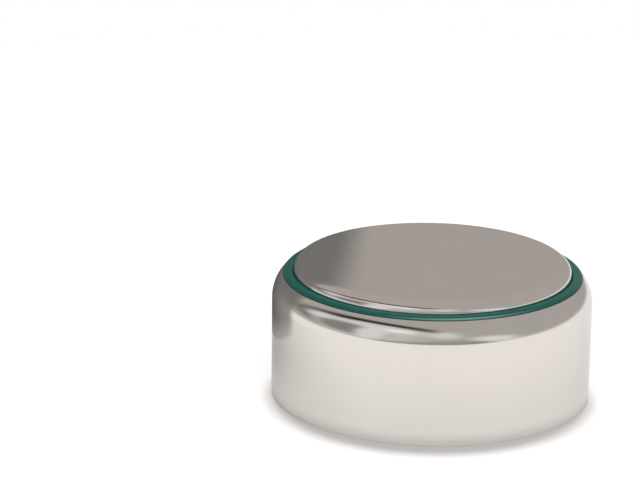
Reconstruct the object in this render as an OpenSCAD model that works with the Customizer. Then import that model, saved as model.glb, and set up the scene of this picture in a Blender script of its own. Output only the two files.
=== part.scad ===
// Alkaline button cell, lying on its flat positive face with the cap up.
//
// Every piece is a turned or drawn form about the Z axis, so each module
// revolves one radial section: x is the radius and y is the height.
// Z = 0 is the flat base of the can, and the origin is its centre.
// The closure is a crimp: the rim of the can is turned in over the seal, and
// presses it down on the hem that is folded round the skirt of the cap.

/* [Cell] */
// Outside diameter of the cell
cell_d = 11.6; // [10:0.1:16]
// Overall height, from the base to the face of the cap
cell_h = 5.0; // [4.6:0.1:6]

/* [Can] */
// Sheet thickness of the drawn can
can_t = 0.2; // [0.16:0.01:0.22]
// Outside radius of the corner round the base
base_corner_r = 0.18; // [0.14:0.02:0.5]
// Inside radius of the corner round the base
base_inner_r = 0.06; // [0.04:0.01:0.1]
// Outside radius of the bend that turns the rim in
crimp_r = 1.29; // [1.15:0.01:1.45]
// Angle that the rim is turned in through
crimp_angle = 45; // [41:1:49]

/* [Cap] */
// Height of the cap's face above the crimped rim
cap_rise = 0.51; // [0.44:0.01:0.58]
// Sheet thickness of the cap
cap_t = 0.2; // [0.15:0.01:0.22]
// Outside radius of the edge round the cap's face
cap_edge_r = 0.34; // [0.26:0.01:0.38]
// Inside radius of the edge round the cap's face
cap_inner_r = 0.14; // [0.08:0.01:0.18]
// Height of the cap's neck, from the step up to the face
neck_h = 0.77; // [0.72:0.01:0.8]
// Outward step from the neck of the cap to its skirt
skirt_step = 0.16; // [0.1:0.01:0.2]
// Height that the step takes
skirt_step_h = 0.22; // [0.15:0.01:0.3]
// Height of the bare skirt between the step and the cut edge of the hem
bare_skirt_h = 0.1; // [0.05:0.01:0.15]
// Gap inside the folded hem
hem_gap = 0.04; // [0.02:0.01:0.06]

/* [Seal] */
// Thickness of the seal's wall, between the can and the hem
seal_wall_t = 0.21; // [0.18:0.01:0.26]
// Thickness of the seal's foot, under the hem
foot_t = 0.35; // [0.25:0.01:0.45]
// Thickness of the seal's inner lip, inside the cap
inner_lip_t = 0.25; // [0.2:0.01:0.35]
// Height of the seal's inner lip above its foot
inner_lip_h = 0.5; // [0.3:0.02:0.8]
// Depth of the bead's centre below the crimped rim
bead_drop = 0.09; // [0.06:0.01:0.12]

/* [Filling] */
// Thickness of the pressed cathode tablet
tablet_h = 1.5; // [1:0.05:1.9]
// Chamfer round both faces of the tablet
tablet_chamfer = 0.14; // [0.1:0.01:0.3]
// Thickness of the separator film
film_t = 0.08; // [0.05:0.01:0.12]
// Thickness of the absorbent pad
pad_t = 0.28; // [0.2:0.02:0.34]
// Empty height left over the zinc gel
gel_headspace = 0.34; // [0.2:0.02:0.36]
// Rounding round the top of the zinc gel
gel_edge_r = 0.15; // [0.05:0.01:0.18]

/* [Fits] */
// Clearance between the seal and the metal that it is pressed on
seal_fit = 0.01; // [0.005:0.005:0.02]
// Clearance round and between the layers of the filling
fill_fit = 0.01; // [0.005:0.005:0.02]

/* [Hidden] */
$fn = 180;

// Can
can_r = cell_d / 2;
can_in_r = can_r - can_t;
rim_z = cell_h - cap_rise;
crimp_c_r = can_r - crimp_r;
crimp_c_z = rim_z - crimp_r * sin(crimp_angle);
crimp_in_r = crimp_r - can_t;
rim_r = crimp_c_r + crimp_r * cos(crimp_angle);

// Radii in from the can: wall of the seal, hem, skirt and neck of the cap
seal_out_r = can_in_r - seal_fit;
seal_wall_in_r = seal_out_r - seal_wall_t;
hem_out_r = seal_wall_in_r - seal_fit;
hem_in_r = hem_out_r - cap_t;
skirt_r = hem_in_r - hem_gap;
neck_r = skirt_r - skirt_step;
inner_lip_out_r = skirt_r - cap_t - seal_fit;
seal_in_r = inner_lip_out_r - inner_lip_t;
fill_r = can_in_r - fill_fit;
inner_fill_r = seal_in_r - fill_fit;

// Heights up from the floor of the can: filling, foot of the seal and the fold
tablet_z = can_t + fill_fit;
film_z = tablet_z + tablet_h + fill_fit;
foot_z = film_z + film_t + fill_fit;
foot_top_z = foot_z + foot_t;
inner_lip_z = foot_top_z + inner_lip_h;
fold_out_r = cap_t + hem_gap / 2;
fold_c_r = skirt_r + hem_gap / 2;
fold_c_z = foot_top_z + seal_fit + fold_out_r;

// Heights down from the face of the cap: neck, step and cut edge of the hem
neck_z = cell_h - neck_h;
step_z = neck_z - skirt_step_h;
hem_edge_z = step_z - bare_skirt_h;

// Bead of the seal, which fills the mouth: it is round, starts from the neck
// and ends at the corner of the rim
mouth = rim_r - neck_r;
bead_r = (mouth * mouth + bead_drop * bead_drop) / (2 * mouth);
bead_c_r = neck_r + bead_r;
bead_c_z = rim_z - bead_drop;

// Zinc gel
gel_z = foot_z + pad_t + fill_fit;
gel_shoulder_z = inner_lip_z + fill_fit;
gel_top_z = cell_h - cap_t - gel_headspace;

// ---------------------------------------------------------------- sections

// The slice of a disc between two angles, which are at most 90 apart.
module disc_sector(r, from, to) {
    reach = 2 * r;
    middle = (from + to) / 2;
    intersection() {
        circle(r);
        polygon([[0, 0],
                 reach * [cos(from), sin(from)],
                 reach * [cos(middle), sin(middle)],
                 reach * [cos(to), sin(to)]]);
    }
}

// Section of a disc whose lower corner is rounded.
module round_footed_disc(r, z0, z1, corner) {
    translate([0, z0])
        square([r - corner, corner]);
    translate([0, z0 + corner])
        square([r, z1 - z0 - corner]);
    translate([r - corner, z0 + corner])
        circle(corner);
}

// Section of a disc whose upper corner is rounded.
module round_topped_disc(r, z0, z1, corner) {
    translate([0, z0])
        square([r, z1 - z0 - corner]);
    translate([0, z1 - corner])
        square([r - corner, corner]);
    translate([r - corner, z1 - corner])
        circle(corner);
}

// All that the can encloses, with its wall, up to the turned-in rim.
module can_envelope() {
    round_footed_disc(can_r, 0, crimp_c_z, base_corner_r);
    translate([crimp_c_r, crimp_c_z])
        disc_sector(crimp_r, 0, crimp_angle);
}

// The room inside the can.
module can_room() {
    round_footed_disc(can_in_r, can_t, crimp_c_z, base_inner_r);
    translate([crimp_c_r, crimp_c_z])
        circle(crimp_in_r);
}

// The form that the cap is drawn to, stepped in from its skirt to its neck.
// A positive inset gives the inside of the sheet, which is as thick on the
// slope of the step as it is above and below.
module cap_form(inset, z0, z1, corner) {
    skirt = skirt_r - inset;
    neck = neck_r - inset;
    drop = inset * tan(atan2(skirt_step, skirt_step_h) / 2);
    polygon([[0, z0],
             [skirt, z0],
             [skirt, step_z - drop],
             [neck, neck_z - drop],
             [0, neck_z - drop]]);
    round_topped_disc(neck, z0, z1, corner);
}

// The fold at the foot of the skirt, and the leg that goes back up from it.
module hem() {
    translate([fold_c_r, fold_c_z])
        difference() {
            union() {
                disc_sector(fold_out_r, 180, 270);
                disc_sector(fold_out_r, 270, 360);
            }
            circle(hem_gap / 2);
        }
    translate([hem_in_r, fold_c_z])
        square([cap_t, hem_edge_z - fold_c_z]);
}

// The top of the seal: it fills the crimp, from the hem up to the turned-in
// rim, and swells out between the rim and the neck as the bead.
module crimped_seal() {
    difference() {
        union() {
            intersection() {
                translate([crimp_c_r, crimp_c_z])
                    circle(crimp_in_r - seal_fit);
                translate([neck_r, crimp_c_z])
                    square([crimp_r, bead_c_z - crimp_c_z]);
            }
            // The bead, as far down as the cut edge of the rim
            intersection() {
                translate([bead_c_r, bead_c_z])
                    circle(bead_r);
                translate([crimp_c_r, crimp_c_z])
                    rotate(crimp_angle)
                        square([2 * crimp_r, crimp_r]);
            }
        }
        // Clear of the cut edge of the rim
        translate([crimp_c_r, crimp_c_z])
            rotate(crimp_angle)
                translate([crimp_in_r - seal_fit, -crimp_r])
                    square([crimp_r, crimp_r + seal_fit]);
        // Clear of the cap, and of the hem round it
        cap_form(-seal_fit, fold_c_z, cell_h, cap_edge_r);
        square([seal_wall_in_r, hem_edge_z + seal_fit]);
    }
}

// ------------------------------------------------------------------ pieces

// Positive can: nickel-plated steel, drawn as a cup and crimped at the rim.
module positive_can() {
    color([0.76, 0.73, 0.69])
        rotate_extrude()
            difference() {
                can_envelope();
                can_room();
            }
}

// Seal: a moulded nylon ring with a foot, an inner lip and an outer wall, which
// the crimp closes over the hem.
module sealing_gasket() {
    color([0.12, 0.40, 0.36])
        rotate_extrude() {
            translate([seal_in_r, foot_z])
                square([seal_out_r - seal_in_r, foot_t]);
            translate([seal_in_r, foot_top_z])
                square([inner_lip_t, inner_lip_h - inner_lip_t / 2]);
            translate([seal_in_r + inner_lip_t / 2, inner_lip_z - inner_lip_t / 2])
                circle(inner_lip_t / 2);
            translate([seal_wall_in_r, foot_top_z])
                square([seal_wall_t, crimp_c_z - foot_top_z]);
            crimped_seal();
        }
}

// Negative cap: a drawn cup with a stepped skirt, whose edge is folded back up
// as a hem, so that the crimp has a double wall to hold.
module negative_cap() {
    color([0.74, 0.71, 0.68])
        rotate_extrude() {
            difference() {
                cap_form(0, fold_c_z, cell_h, cap_edge_r);
                cap_form(cap_t, fold_c_z, cell_h - cap_t, cap_inner_r);
            }
            hem();
        }
}

// Cathode: a tablet pressed from manganese dioxide and graphite.
module cathode_tablet() {
    flat_r = fill_r - tablet_chamfer;
    color([0.13, 0.13, 0.14])
        rotate_extrude()
            translate([0, tablet_z])
                polygon([[0, 0],
                         [flat_r, 0],
                         [fill_r, tablet_chamfer],
                         [fill_r, tablet_h - tablet_chamfer],
                         [flat_r, tablet_h],
                         [0, tablet_h]]);
}

// Separator: a disc of laminated film, held between the tablet and the seal.
module separator_film() {
    color([0.90, 0.88, 0.80])
        translate([0, 0, film_z])
            cylinder(h = film_t, r = fill_r);
}

// Pad: a disc of non-woven fibre, soaked with electrolyte, inside the seal.
module absorbent_pad() {
    color([0.95, 0.95, 0.93])
        translate([0, 0, foot_z])
            cylinder(h = pad_t, r = inner_fill_r);
}

// Anode: zinc powder in gelled electrolyte, which fills the cap up to the
// headspace and reaches down inside the seal to the pad.
module zinc_gel() {
    color([0.52, 0.54, 0.57])
        rotate_extrude() {
            translate([0, gel_z])
                square([inner_fill_r, gel_shoulder_z - gel_z]);
            cap_form(cap_t + fill_fit, gel_shoulder_z, gel_top_z, gel_edge_r);
        }
}

positive_can();
sealing_gasket();
negative_cap();
cathode_tablet();
separator_film();
absorbent_pad();
zinc_gel();
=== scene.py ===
from math import atan2, cos, degrees, hypot, radians, sin

import bmesh
import bpy
from mathutils import Euler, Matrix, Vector


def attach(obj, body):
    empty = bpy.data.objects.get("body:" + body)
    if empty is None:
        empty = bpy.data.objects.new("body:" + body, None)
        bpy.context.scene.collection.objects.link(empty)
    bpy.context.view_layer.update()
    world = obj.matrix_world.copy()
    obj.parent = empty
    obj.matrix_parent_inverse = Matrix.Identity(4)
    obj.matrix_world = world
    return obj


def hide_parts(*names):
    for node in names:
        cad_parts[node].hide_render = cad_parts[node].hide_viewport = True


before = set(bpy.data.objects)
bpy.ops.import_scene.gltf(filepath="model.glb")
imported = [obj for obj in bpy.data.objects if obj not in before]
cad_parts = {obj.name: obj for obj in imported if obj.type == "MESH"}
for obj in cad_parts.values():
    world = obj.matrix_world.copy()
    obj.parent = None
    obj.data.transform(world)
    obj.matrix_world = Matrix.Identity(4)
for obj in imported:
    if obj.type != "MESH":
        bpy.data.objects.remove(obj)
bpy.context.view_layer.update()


# -------------------------------------------------------------- positive can
# A cup deep-drawn from nickel-plated steel strip: the case of the cell and its
# positive pole. Its rim is turned in last of all, over the seal, which closes
# the cell. The plating is left as it comes from the press, with a satin shine.
MM = 0.001
TURN_STEPS = 288
CELL_H = 5.0 * MM
SHEET = 0.2 * MM
EDGE_BREAK = 0.015 * MM
CAN_R = 5.8 * MM
CAN_BASE_CORNER = 0.18 * MM
CRIMP_R = 1.29 * MM
CRIMP_ANGLE = 45
RIM_Z = CELL_H - 0.51 * MM
CRIMP_CENTRE_R = CAN_R - CRIMP_R
CRIMP_CENTRE_Z = RIM_Z - CRIMP_R * sin(radians(CRIMP_ANGLE))
NICKEL = (0.735, 0.695, 0.655)
NICKEL_WORN = (0.722, 0.682, 0.642)


def start_disc(name, r, z, filled=True):
    """Begins a turned piece as a disc or a bare ring, with its edge selected."""
    bpy.ops.object.select_all(action="DESELECT")
    bpy.ops.mesh.primitive_circle_add(
        vertices=TURN_STEPS, radius=r, location=(0, 0, z),
        fill_type="NGON" if filled else "NOTHING")
    piece = bpy.context.object
    piece.name = piece.data.name = name
    bpy.ops.object.transform_apply(location=True, rotation=True, scale=True)
    bpy.ops.object.mode_set(mode="EDIT")
    bpy.ops.mesh.select_mode(type="EDGE")
    bpy.ops.mesh.select_all(action="SELECT")
    return piece


def ring_to(r, z):
    """Draws the selected ring out to radius r and height z, as a new ring."""
    mesh = bmesh.from_edit_mesh(bpy.context.edit_object.data)
    here = next(v.co for v in mesh.verts if v.select)
    old_r, old_z = hypot(here.x, here.y), here.z
    bpy.ops.mesh.extrude_edges_move(
        TRANSFORM_OT_translate={"value": (0, 0, z - old_z)})
    bpy.ops.transform.resize(value=(r / old_r, r / old_r, 1), center_override=(0, 0, z))


def arc_to(centre_r, centre_z, radius, start, end, steps):
    """Draws the selected ring on along an arc of the section, in degrees."""
    for step in range(1, steps + 1):
        angle = radians(start + (end - start) * step / steps)
        ring_to(centre_r + radius * cos(angle), centre_z + radius * sin(angle))


def leave_turning():
    """Ends the turning with its faces pointing outwards."""
    bpy.ops.mesh.select_all(action="SELECT")
    bpy.ops.mesh.remove_doubles(threshold=0.0005 * MM)
    bpy.ops.mesh.normals_make_consistent(inside=False)
    bpy.ops.object.mode_set(mode="OBJECT")


def finish_edges(piece):
    """Breaks the sharp edges, and keeps the flats flat under smooth shading."""
    bevel = piece.modifiers.new("broken edges", "BEVEL")
    bevel.width = EDGE_BREAK
    bevel.segments = 2
    bevel.limit_method = "ANGLE"
    bevel.angle_limit = radians(50)
    bpy.ops.object.modifier_apply(modifier=bevel.name)
    bpy.ops.object.shade_smooth_by_angle(angle=radians(40))
    weighted = piece.modifiers.new("flats kept flat", "WEIGHTED_NORMAL")
    weighted.keep_sharp = True
    bpy.ops.object.modifier_apply(modifier=weighted.name)


def node_material(name):
    """A new material, with its nodes, its shader and a texture's coordinates."""
    material = bpy.data.materials.new(name)
    material.use_nodes = True
    nodes = material.node_tree.nodes
    shader = nodes["Principled BSDF"]
    place = nodes.new("ShaderNodeTexCoord").outputs["Object"]
    return material, nodes, material.node_tree.links, shader, place


def noise(nodes, links, vector, size, detail=3.0, roughness=0.55):
    """Noise whose features are about this size, in metres."""
    node = nodes.new("ShaderNodeTexNoise")
    node.inputs["Scale"].default_value = 1 / size
    node.inputs["Detail"].default_value = detail
    node.inputs["Roughness"].default_value = roughness
    links.new(vector, node.inputs["Vector"])
    return node.outputs["Fac"]


def spread(nodes, links, value, low, high, out_low, out_high):
    """Maps a range of values to another one, softly at both ends."""
    node = nodes.new("ShaderNodeMapRange")
    node.interpolation_type = "SMOOTHSTEP"
    node.inputs["From Min"].default_value = low
    node.inputs["From Max"].default_value = high
    node.inputs["To Min"].default_value = out_low
    node.inputs["To Max"].default_value = out_high
    links.new(value, node.inputs["Value"])
    return node.outputs["Result"]


def feed(links, value, socket):
    """Fills a socket with an output, a colour or a number."""
    if isinstance(value, bpy.types.NodeSocket):
        links.new(value, socket)
    elif isinstance(value, tuple):
        socket.default_value = (*value, 1)
    else:
        socket.default_value = value


def blend(nodes, links, factor, first, second, kind="RGBA"):
    """Blends two colours, or two numbers, by a factor."""
    node = nodes.new("ShaderNodeMix")
    node.data_type = kind
    links.new(factor, node.inputs["Factor"])
    feed(links, first, node.inputs["A"])
    feed(links, second, node.inputs["B"])
    return node.outputs["Result"]


def combine(nodes, links, operation, first, second):
    """Joins two outputs by one step of arithmetic."""
    node = nodes.new("ShaderNodeMath")
    node.operation = operation
    links.new(first, node.inputs[0])
    links.new(second, node.inputs[1])
    return node.outputs[0]


def axis_of(nodes, links, vector, axis):
    """One coordinate of a vector."""
    node = nodes.new("ShaderNodeSeparateXYZ")
    links.new(vector, node.inputs[0])
    return node.outputs[axis]


def bump(nodes, links, height, distance, shader):
    """Raises the surface by a height from 0 to 1 times a distance in metres."""
    node = nodes.new("ShaderNodeBump")
    node.inputs["Distance"].default_value = distance
    links.new(height, node.inputs["Height"])
    links.new(node.outputs["Normal"], shader.inputs["Normal"])


def satin_nickel(name, blush_size, smoothest, roughest):
    """Pressed nickel, with a faint blush in its colour and a fine grain."""
    metal, nodes, links, shader, place = node_material(name)
    shader.inputs["Metallic"].default_value = 1.0
    shader.inputs["Specular Tint"].default_value = (0.85, 0.85, 0.85, 1)
    blush = spread(nodes, links, noise(nodes, links, place, blush_size, 2.0), 0.35, 0.7, 0, 1)
    links.new(blend(nodes, links, blush, NICKEL, NICKEL_WORN), shader.inputs["Base Color"])
    grain = noise(nodes, links, place, 0.03 * MM, 4.0, 0.6)
    links.new(spread(nodes, links, grain, 0.3, 0.7, smoothest, roughest), shader.inputs["Roughness"])
    bump(nodes, links, grain, 0.00008 * MM, shader)
    return metal, nodes, links, shader, place


# Up the outside, from the flat face to the cut edge of the rim
can = start_disc("can_shell", CAN_R - CAN_BASE_CORNER, 0)
arc_to(CAN_R - CAN_BASE_CORNER, CAN_BASE_CORNER, CAN_BASE_CORNER, -90, 0, 12)
ring_to(CAN_R, CRIMP_CENTRE_Z)
arc_to(CRIMP_CENTRE_R, CRIMP_CENTRE_Z, CRIMP_R, 0, CRIMP_ANGLE, 30)

# Across the cut edge, down the inside and over the floor
arc_to(CRIMP_CENTRE_R, CRIMP_CENTRE_Z, CRIMP_R - SHEET, CRIMP_ANGLE, CRIMP_ANGLE, 1)
arc_to(CRIMP_CENTRE_R, CRIMP_CENTRE_Z, CRIMP_R - SHEET, CRIMP_ANGLE, 0, 30)
ring_to(CAN_R - SHEET, SHEET)
bpy.ops.mesh.edge_face_add()
leave_turning()
finish_edges(can)

plating, nodes, links, shader, place = satin_nickel("can_satin_nickel", 1.6 * MM, 0.09, 0.12)

# A plus sign, the mark of the positive pole, etched matt into the flat face
SIGN_MIDDLE = (0, 2.1 * MM, 0)
SIGN_REACH = 1.4 * MM
SIGN_HALF_STROKE = 0.085 * MM
SIGN_SOFTNESS = 0.01 * MM
ETCH_TOP = 0.03 * MM
ETCHED_NICKEL = (0.80, 0.78, 0.76)
from_middle = nodes.new("ShaderNodeVectorMath")
from_middle.operation = "SUBTRACT"
from_middle.inputs[1].default_value = SIGN_MIDDLE
links.new(place, from_middle.inputs[0])
off_sign = nodes.new("ShaderNodeVectorMath")
off_sign.operation = "ABSOLUTE"
links.new(from_middle.outputs[0], off_sign.inputs[0])


def within(axis, reach):
    """1 inside this distance from the middle of the sign, and 0 outside it."""
    return spread(nodes, links, axis_of(nodes, links, off_sign.outputs[0], axis),
                  reach - SIGN_SOFTNESS, reach + SIGN_SOFTNESS, 1, 0)


bar_along_x = combine(nodes, links, "MULTIPLY", within("X", SIGN_REACH), within("Y", SIGN_HALF_STROKE))
bar_along_y = combine(nodes, links, "MULTIPLY", within("Y", SIGN_REACH), within("X", SIGN_HALF_STROKE))
bars = combine(nodes, links, "MAXIMUM", bar_along_x, bar_along_y)
etched = combine(nodes, links, "MULTIPLY", bars, within("Z", ETCH_TOP))
for socket, etched_value, kind in (("Base Color", ETCHED_NICKEL, "RGBA"), ("Roughness", 0.42, "FLOAT")):
    as_pressed = shader.inputs[socket].links[0].from_socket
    links.new(blend(nodes, links, etched, as_pressed, etched_value, kind), shader.inputs[socket])
can.data.materials.append(plating)
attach(can, "root")
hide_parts("positive_can")


# ------------------------------------------------------------ cathode tablet
# Manganese dioxide with graphite, pressed dry into a tablet with chamfered
# edges and dropped into the can, where it is wetted with electrolyte.
MANGANESE_DIOXIDE = (0.012, 0.012, 0.013)
GRAPHITE = (0.035, 0.034, 0.036)
tablet_mix, nodes, links, shader, place = node_material("tablet_pressed_powder")
powder = noise(nodes, links, place, 0.05 * MM, 5.0, 0.7)
flakes = nodes.new("ShaderNodeTexVoronoi")
flakes.inputs["Scale"].default_value = 1 / (0.09 * MM)
links.new(place, flakes.inputs["Vector"])
flecks = spread(nodes, links, powder, 0.35, 0.7, 0, 1)
links.new(blend(nodes, links, flecks, MANGANESE_DIOXIDE, GRAPHITE), shader.inputs["Base Color"])
shine = spread(nodes, links, flakes.outputs["Distance"], 0.05, 0.3, 0.35, 0.85)
links.new(shine, shader.inputs["Roughness"])
bump(nodes, links, powder, 0.004 * MM, shader)
bpy.data.objects["cathode_tablet"].material_slots[0].material = tablet_mix


# ------------------------------------------------------------ separator film
# A disc punched from laminated cellophane film, which keeps the two poles
# apart. It lies on the tablet and is held down round its edge by the seal.
FILM = (0.80, 0.77, 0.64)
FILM_DAMP = (0.74, 0.70, 0.56)
film, nodes, links, shader, place = node_material("separator_film_laminate")
shader.inputs["Coat Weight"].default_value = 0.3
cockle = noise(nodes, links, place, 0.9 * MM, 2.0)
links.new(blend(nodes, links, cockle, FILM, FILM_DAMP), shader.inputs["Base Color"])
links.new(spread(nodes, links, cockle, 0.3, 0.7, 0.25, 0.4), shader.inputs["Roughness"])
bump(nodes, links, cockle, 0.01 * MM, shader)
bpy.data.objects["separator_film"].material_slots[0].material = film


# ------------------------------------------------------------- absorbent pad
# A disc of non-woven cellulose fibre inside the ring of the seal. It holds
# the electrolyte that feeds the zinc, and lies loose on the separator.
FIBRE = (0.90, 0.90, 0.87)
FIBRE_SHADED = (0.78, 0.78, 0.74)
felt, nodes, links, shader, place = node_material("pad_fibre")
shader.inputs["Sheen Weight"].default_value = 0.3
strands = nodes.new("ShaderNodeTexWave")
strands.inputs["Scale"].default_value = 1 / (0.12 * MM)
strands.inputs["Distortion"].default_value = 14.0
strands.inputs["Detail"].default_value = 4.0
links.new(place, strands.inputs["Vector"])
links.new(blend(nodes, links, strands.outputs["Fac"], FIBRE_SHADED, FIBRE), shader.inputs["Base Color"])
links.new(spread(nodes, links, strands.outputs["Fac"], 0, 1, 0.95, 0.8), shader.inputs["Roughness"])
bump(nodes, links, strands.outputs["Fac"], 0.012 * MM, shader)
bpy.data.objects["absorbent_pad"].material_slots[0].material = felt


# ---------------------------------------------------------------------- seal
# A moulded nylon ring, dyed blue-green, with a groove that takes the folded
# edge of the cap. The crimp closes its wall over the hem and squeezes out the
# rounded bead that shows between the can and the cap.
SEAL_DYED = (0.012, 0.086, 0.070)
SEAL_DYED_PALER = (0.014, 0.096, 0.078)
# The pale colour of the painted highlight on the bead
SEAL_PAINTED_HIGHLIGHT = (0.16, 0.30, 0.27)
SEAL_PLAY = 0.002 * MM
SEAL_IN_R = 4.67 * MM
LIP_T = 0.25 * MM
SEAL_FOOT_Z = 1.81 * MM
SEAL_FOOT_TOP = SEAL_FOOT_Z + 0.35 * MM
LIP_Z = SEAL_FOOT_TOP + 0.5 * MM
SKIRT_R = 5.13 * MM
NECK_R = 5.04 * MM
HEM_OUT_R = 5.37 * MM
HEM_EDGE_Z = 3.91 * MM
STEP_Z = 4.01 * MM
NECK_Z = 4.23 * MM
RIM_R = CRIMP_CENTRE_R + CRIMP_R * cos(radians(CRIMP_ANGLE))
MOUTH = RIM_R - NECK_R
BEAD_DROP = 0.09 * MM
BEAD_R = (MOUTH ** 2 + BEAD_DROP ** 2) / (2 * MOUTH)
BEAD_C_R = NECK_R + BEAD_R
BEAD_C_Z = RIM_Z - BEAD_DROP
BEAD_END_ANGLE = 96
BEAD_TOUCH_Z = 4.59 * MM
BEAD_LIP_W = 0.03 * MM
BEAD_LIP_H = 0.05 * MM

# Where the bead leaves the cut edge of the rim
mouth = Vector((cos(radians(CRIMP_ANGLE)), sin(radians(CRIMP_ANGLE))))
along_lip = Vector((-mouth.y, mouth.x))
bead_from_crimp = Vector((BEAD_C_R - CRIMP_CENTRE_R, BEAD_C_Z - CRIMP_CENTRE_Z))
drop = SEAL_PLAY - bead_from_crimp.dot(along_lip)
from_bead_centre = drop * along_lip + (BEAD_R ** 2 - drop ** 2) ** 0.5 * mouth
bead_start = degrees(atan2(from_bead_centre.y, from_bead_centre.x))

# The foot, the outer wall, the part under the crimp, and the bead
seal = start_disc("seal_ring", SEAL_IN_R, SEAL_FOOT_Z, filled=False)
ring_to(CAN_R - SHEET - SEAL_PLAY, SEAL_FOOT_Z)
ring_to(CAN_R - SHEET - SEAL_PLAY, CRIMP_CENTRE_Z)
arc_to(CRIMP_CENTRE_R, CRIMP_CENTRE_Z, CRIMP_R - SHEET - SEAL_PLAY, 0, CRIMP_ANGLE, 20)
arc_to(BEAD_C_R, BEAD_C_Z, BEAD_R, bead_start, BEAD_END_ANGLE, 30)
ring_to(NECK_R + BEAD_LIP_W, BEAD_TOUCH_Z)
ring_to(NECK_R + SEAL_PLAY, BEAD_TOUCH_Z - BEAD_LIP_H)

# Down the cap's neck and round its hem, into the groove
ring_to(NECK_R + SEAL_PLAY, NECK_Z)
ring_to(SKIRT_R + SEAL_PLAY, STEP_Z)
ring_to(SKIRT_R + SEAL_PLAY, HEM_EDGE_Z + SEAL_PLAY)
ring_to(HEM_OUT_R + SEAL_PLAY, HEM_EDGE_Z + SEAL_PLAY)
ring_to(HEM_OUT_R + SEAL_PLAY, SEAL_FOOT_TOP)

# The rounded inner lip
ring_to(SEAL_IN_R + LIP_T, SEAL_FOOT_TOP)
ring_to(SEAL_IN_R + LIP_T, LIP_Z - LIP_T / 2)
arc_to(SEAL_IN_R + LIP_T / 2, LIP_Z - LIP_T / 2, LIP_T / 2, 0, 180, 16)
ring_to(SEAL_IN_R, SEAL_FOOT_Z)
leave_turning()
bpy.ops.object.shade_smooth_by_angle(angle=radians(30))

nylon, nodes, links, shader, place = node_material("seal_dyed_nylon")
shader.inputs["IOR"].default_value = 1.53
shader.inputs["Specular IOR Level"].default_value = 0.08
shader.inputs["Subsurface Weight"].default_value = 0.15
shader.inputs["Subsurface Radius"].default_value = (0.2, 0.6, 0.5)
shader.inputs["Subsurface Scale"].default_value = 0.05 * MM
dye = spread(nodes, links, noise(nodes, links, place, 0.7 * MM, 2.0), 0.35, 0.65, 0, 1)
dyed = blend(nodes, links, dye, SEAL_DYED, SEAL_DYED_PALER)

# A painted highlight: the bead is made paler along a short stretch of its lower outer edge beside the
# rim, at the front right
PAINTED_HIGHLIGHT_MIDDLE = (1.1 * MM, -5.3 * MM, 4.541 * MM)
PAINTED_HIGHLIGHT_REACH = (3.3 * MM, 4 * MM, 0.042 * MM)


def in_oval(nodes, links, vector, middle, reach, turn=(0, 0, 0)):
    """A vector as seen from an oval's middle, in units of its reach."""
    node = nodes.new("ShaderNodeMapping")
    node.vector_type = "TEXTURE"
    node.inputs["Location"].default_value = middle
    node.inputs["Rotation"].default_value = turn
    node.inputs["Scale"].default_value = reach
    links.new(vector, node.inputs["Vector"])
    return node.outputs[0]


def distance_from(nodes, links, vector, spot=(0, 0, 0)):
    """How far a vector is from a spot."""
    node = nodes.new("ShaderNodeVectorMath")
    node.operation = "DISTANCE"
    links.new(vector, node.inputs[0])
    node.inputs[1].default_value = spot
    return node.outputs["Value"]


off_painted_highlight = distance_from(nodes, links, in_oval(nodes, links, place, PAINTED_HIGHLIGHT_MIDDLE, PAINTED_HIGHLIGHT_REACH))
painted_highlight = spread(nodes, links, off_painted_highlight, 0.1, 1.05, 1, 0)
links.new(blend(nodes, links, painted_highlight, dyed, SEAL_PAINTED_HIGHLIGHT), shader.inputs["Base Color"])
skin = noise(nodes, links, place, 0.06 * MM, 3.0)
links.new(spread(nodes, links, skin, 0.3, 0.7, 0.36, 0.40), shader.inputs["Roughness"])
bump(nodes, links, skin, 0.00006 * MM, shader)
seal.data.materials.append(nylon)
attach(seal, "root")
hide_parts("sealing_gasket")


# ------------------------------------------------------------------ zinc gel
# Zinc powder stirred into electrolyte that is thickened to a gel, and dosed
# into the upturned cap. It fills the cap but for a little gas space.
ZINC = (0.42, 0.43, 0.45)
GEL = (0.14, 0.15, 0.165)
gel, nodes, links, shader, place = node_material("zinc_gel_mix")
shader.inputs["Coat Weight"].default_value = 0.6
grains = nodes.new("ShaderNodeTexVoronoi")
grains.inputs["Scale"].default_value = 1 / (0.16 * MM)
links.new(place, grains.inputs["Vector"])
off_grain = grains.outputs["Distance"]
zinc = spread(nodes, links, off_grain, 0.1, 0.55, 1, 0)
links.new(blend(nodes, links, zinc, GEL, ZINC), shader.inputs["Base Color"])
links.new(spread(nodes, links, off_grain, 0.1, 0.6, 0.5, 0.2), shader.inputs["Roughness"])
links.new(spread(nodes, links, off_grain, 0.2, 0.45, 0.8, 0), shader.inputs["Metallic"])
bump(nodes, links, spread(nodes, links, off_grain, 0, 0.6, 1, 0), 0.02 * MM, shader)
bpy.data.objects["zinc_gel"].material_slots[0].material = gel


# -------------------------------------------------------------- negative cap
# A shallow cup drawn from steel strip that is clad with nickel outside and
# copper inside: the negative pole. Its skirt steps outwards and is folded
# back up on itself, so that the crimp bears on a doubled wall.
CAP_EDGE = 0.41 * MM
HEM_GAP = 0.04 * MM
FOLD_Z = 2.39 * MM
FOLD_C_R = SKIRT_R + HEM_GAP / 2

# The face, the neck, the step, the skirt and the hem folded up outside it
cap = start_disc("cap_shell", NECK_R - CAP_EDGE, CELL_H)
arc_to(NECK_R - CAP_EDGE, CELL_H - CAP_EDGE, CAP_EDGE, 90, 0, 16)
ring_to(NECK_R, NECK_Z)
ring_to(SKIRT_R, STEP_Z)
ring_to(SKIRT_R, FOLD_Z)
arc_to(FOLD_C_R, FOLD_Z, HEM_GAP / 2, 180, 360, 12)
ring_to(SKIRT_R + HEM_GAP, HEM_EDGE_Z)
leave_turning()
wall = cap.modifiers.new("sheet", "SOLIDIFY")
wall.thickness = SHEET
wall.offset = -1
wall.use_even_offset = True
bpy.ops.object.modifier_apply(modifier=wall.name)
finish_edges(cap)

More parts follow.
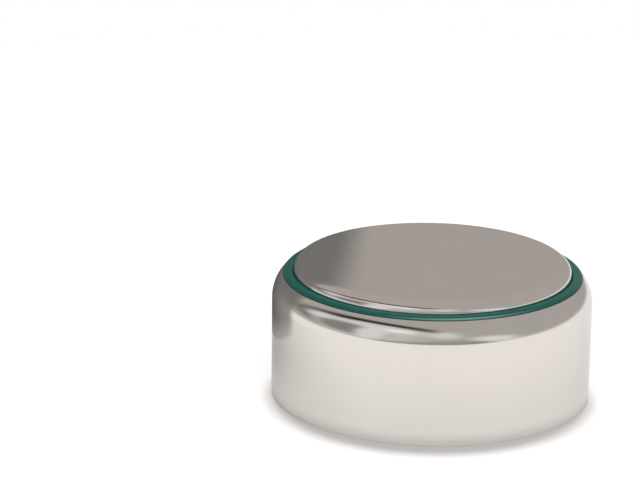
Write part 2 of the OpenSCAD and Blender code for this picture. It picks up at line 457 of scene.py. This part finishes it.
cladding = satin_nickel("cap_satin_nickel", 1.9 * MM, 0.10, 0.13)[0]
cap.data.materials.append(cladding)
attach(cap, "root")
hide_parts("negative_cap")


# --------------------------------------------------------------------- table
# A white sheet that the cell lies on. The camera sees it as pure white away
# from the shadow of the cell. In the metal it shows painted shade near the cell.
TABLE_R = 60 * MM
TABLE_GAP = 0.003 * MM
bpy.ops.object.select_all(action="DESELECT")
bpy.ops.mesh.primitive_circle_add(
    vertices=96, radius=TABLE_R, fill_type="NGON", location=(0, 0, -TABLE_GAP))
table = bpy.context.object
table.name = table.data.name = "table_sheet"
bpy.ops.object.transform_apply(location=True, rotation=True, scale=True)

paper = bpy.data.materials.new("table_white")
paper.use_nodes = True
nodes, links = paper.node_tree.nodes, paper.node_tree.links
nodes.remove(nodes["Principled BSDF"])


def white_sheet(tone, glow):
    """A matt white that glows a little. The glow is a number or an output."""
    matt = nodes.new("ShaderNodeBsdfDiffuse")
    matt.inputs["Color"].default_value = (tone, tone, tone, 1)
    glowing = nodes.new("ShaderNodeEmission")
    feed(links, glow, glowing.inputs["Strength"])
    both = nodes.new("ShaderNodeAddShader")
    links.new(matt.outputs[0], both.inputs[0])
    links.new(glowing.outputs[0], both.inputs[1])
    return both.outputs[0]


def clearance(x, y, near, far, low, high=1.0):
    """Falls from a high value far from a place to a low one near it."""
    place = nodes.new("ShaderNodeTexCoord").outputs["Object"]
    return spread(nodes, links, distance_from(nodes, links, place, (x, y, 0)), near, far, low, high)


# Painted shade on the table as the metal sees it: its glow is darker near the cell, with painted
# shadows behind it on the left and under the dark card
painted_shade_near_cell = clearance(0, 0, 4 * MM, 16 * MM, 0.80)
painted_shadow_behind_left = clearance(-9 * MM, 3 * MM, 0, 13 * MM, 0.60)
painted_shadow_under_card = clearance(-8 * MM, 4 * MM, 0, 6 * MM, 0.35, 0.66)
glow = combine(nodes, links, "MULTIPLY", painted_shade_near_cell, painted_shadow_behind_left)
glow = combine(nodes, links, "MULTIPLY", glow, painted_shadow_under_card)

ray = nodes.new("ShaderNodeLightPath")
in_metal = nodes.new("ShaderNodeMixShader")
links.new(ray.outputs["Is Glossy Ray"], in_metal.inputs[0])
links.new(white_sheet(0.8, 0.0), in_metal.inputs[1])
links.new(white_sheet(0.38, glow), in_metal.inputs[2])
to_camera = nodes.new("ShaderNodeMixShader")
links.new(ray.outputs["Is Camera Ray"], to_camera.inputs[0])
links.new(in_metal.outputs[0], to_camera.inputs[1])
links.new(white_sheet(1.0, 0.01), to_camera.inputs[2])
links.new(to_camera.outputs[0], nodes["Material Output"].inputs["Surface"])
table.data.materials.append(paper)


# -------------------------------------------------------------------- studio
# A white room with a pale grey ceiling, and soft boxes, flags and a dark card
# that only the metal shows, because the camera sees white round the cell. A
# lamp over the table and a weak one in front light the cell.
CEILING = (0.517, 0.488, 0.469)
ENDLESS = 1e6
world = bpy.data.worlds.new("studio_room")
bpy.context.scene.world = world
world.use_nodes = True
nodes, links = world.node_tree.nodes, world.node_tree.links
sky = nodes["Background"]
direction = nodes.new("ShaderNodeTexCoord").outputs["Generated"]
above = spread(nodes, links, axis_of(nodes, links, direction, "Z"), -0.095, 0.03, 0, 1)
room = blend(nodes, links, above, (1.0, 1.0, 1.0), CEILING)


def panel(room, azimuth, elevation, width, depth, tilt, soft, shade):
    """Hangs a soft-edged panel in the room. Angles are in degrees: azimuth from
    the camera's side round to the right, tilt clockwise."""
    facing = Euler((radians(elevation), 0, radians(azimuth - 180))).to_matrix()
    facing = facing @ Euler((0, radians(tilt), 0)).to_matrix()
    size = (sin(radians(width / 2)), ENDLESS, sin(radians(depth / 2)))
    seen = in_oval(nodes, links, direction, (0, 0, 0), size, facing.to_euler())
    ahead = spread(nodes, links, axis_of(nodes, links, seen, "Y"), 0, 1e-9, 0, 1)
    inside = spread(nodes, links, distance_from(nodes, links, seen), 1 - soft, 1 + soft, 1, 0)
    mask = combine(nodes, links, "MULTIPLY", ahead, inside)
    return blend(nodes, links, mask, room, (shade, shade, shade))


# A dark surround on the left, and the large soft box that it frames
room = panel(room, -30.0, 21.6, 156.0, 56.5, -9.6, 0.08, 0.0)
room = panel(room, -41.9, 20.7, 102.5, 44.0, 2.5, 0.12, 0.83)

# A wide grey cloth on the right, and a flag on the far left
room = panel(room, 27.9, 16.3, 120.8, 40.1, 12.1, 0.90, 0.50)
room = panel(room, -61.4, 15.7, 56.5, 26.3, 5.1, 0.35, 0.29)

# The smaller soft boxes, from the left to the right, with a dark bar overhead
room = panel(room, -43.5, 15.3, 21.5, 39.3, -12.4, 0.45, 0.87)
room = panel(room, -22.9, 30.8, 17.8, 6.9, -5.6, 0.80, 1.15)
room = panel(room, 10.0, 25.0, 24.3, 19.8, -44.9, 0.55, 0.80)
room = panel(room, 45.7, 6.9, 33.9, 14.4, -20.7, 0.55, 0.91)
room = panel(room, -91.2, 23.2, 26.4, 10.6, 34.9, 0.80, 0.88)
room = panel(room, -6.5, 38.3, 20.9, 3.5, -24.5, 0.65, 0.20)
links.new(room, sky.inputs["Color"])
backdrop = nodes.new("ShaderNodeBackground")
backdrop.inputs["Color"].default_value = (1, 1, 1, 1)
ray = nodes.new("ShaderNodeLightPath")
split = nodes.new("ShaderNodeMixShader")
links.new(ray.outputs["Is Camera Ray"], split.inputs[0])
links.new(sky.outputs[0], split.inputs[1])
links.new(backdrop.outputs[0], split.inputs[2])
links.new(split.outputs[0], nodes["World Output"].inputs["Surface"])

# The dark card is oval, with a soft edge, and stands behind the cell on the left
CARD_REACH = (7.2 * MM, 10 * MM, 1)
bpy.ops.object.select_all(action="DESELECT")
bpy.ops.mesh.primitive_plane_add(
    size=21 * MM, location=(-7.92 * MM, 5.33 * MM, 4.0 * MM),
    rotation=(radians(90), 0, radians(41)))
card = bpy.context.object
card.name = card.data.name = "dark_card"
card.visible_camera = False
card.visible_diffuse = False
card.visible_shadow = False
dark = bpy.data.materials.new("card_dark")
dark.use_nodes = True
nodes, links = dark.node_tree.nodes, dark.node_tree.links
nodes.remove(nodes["Principled BSDF"])
place = nodes.new("ShaderNodeTexCoord").outputs["Object"]
# The card's glow is painted light and shade: lower down it is brighter at its near end and darker at
# its far end, and a painted lit strip runs along its foot
sideways = axis_of(nodes, links, place, "X")
up = axis_of(nodes, links, place, "Y")
low_tone = spread(nodes, links, sideways, -6 * MM, 2 * MM, 0.35, 0.13)
tone = blend(nodes, links, spread(nodes, links, up, -1.5 * MM, 2 * MM, 0, 1), low_tone, 0.23, "FLOAT")
lit_foot = spread(nodes, links, up, -4.1 * MM, -3.0 * MM, 0.22, 0)
glowing = nodes.new("ShaderNodeEmission")
links.new(combine(nodes, links, "ADD", tone, lit_foot), glowing.inputs["Strength"])
reach = distance_from(nodes, links, in_oval(nodes, links, place, (0, 0, 0), CARD_REACH))
cut = nodes.new("ShaderNodeMixShader")
links.new(spread(nodes, links, reach, 0.80, 1.08, 0, 1), cut.inputs[0])
links.new(glowing.outputs[0], cut.inputs[1])
links.new(nodes.new("ShaderNodeBsdfTransparent").outputs[0], cut.inputs[2])
links.new(cut.outputs[0], nodes["Material Output"].inputs["Surface"])
card.data.materials.append(dark)


def hang_lamp(name, place, size, energy):
    """A round lamp that faces the cell and doesn't show in the metal."""
    bpy.ops.object.select_all(action="DESELECT")
    bpy.ops.object.light_add(type="AREA", location=place)
    lamp = bpy.context.object
    lamp.name = name
    lamp.data.shape = "DISK"
    lamp.data.size = size
    lamp.data.energy = energy
    lamp.rotation_euler = Vector(place).to_track_quat("Z", "Y").to_euler()
    lamp.visible_glossy = False


hang_lamp("overhead_lamp", (0, 0.062, 0.35), 0.08, 0.72)
hang_lamp("front_fill", (0.13, -0.28, 0.17), 0.2, 0.12)

bpy.ops.object.camera_add(
    location=(0, -92.008 * MM, 33.719 * MM),
    rotation=(radians(73.0425), radians(-0.6521), radians(2.7435)))
camera = bpy.context.object
camera.name = "camera"
camera.data.lens = 149.949
camera.data.sensor_width = 36
camera.data.clip_start = 0.005
camera.data.clip_end = 10
bpy.context.scene.camera = camera
bpy.context.scene.view_settings.view_transform = "Standard"
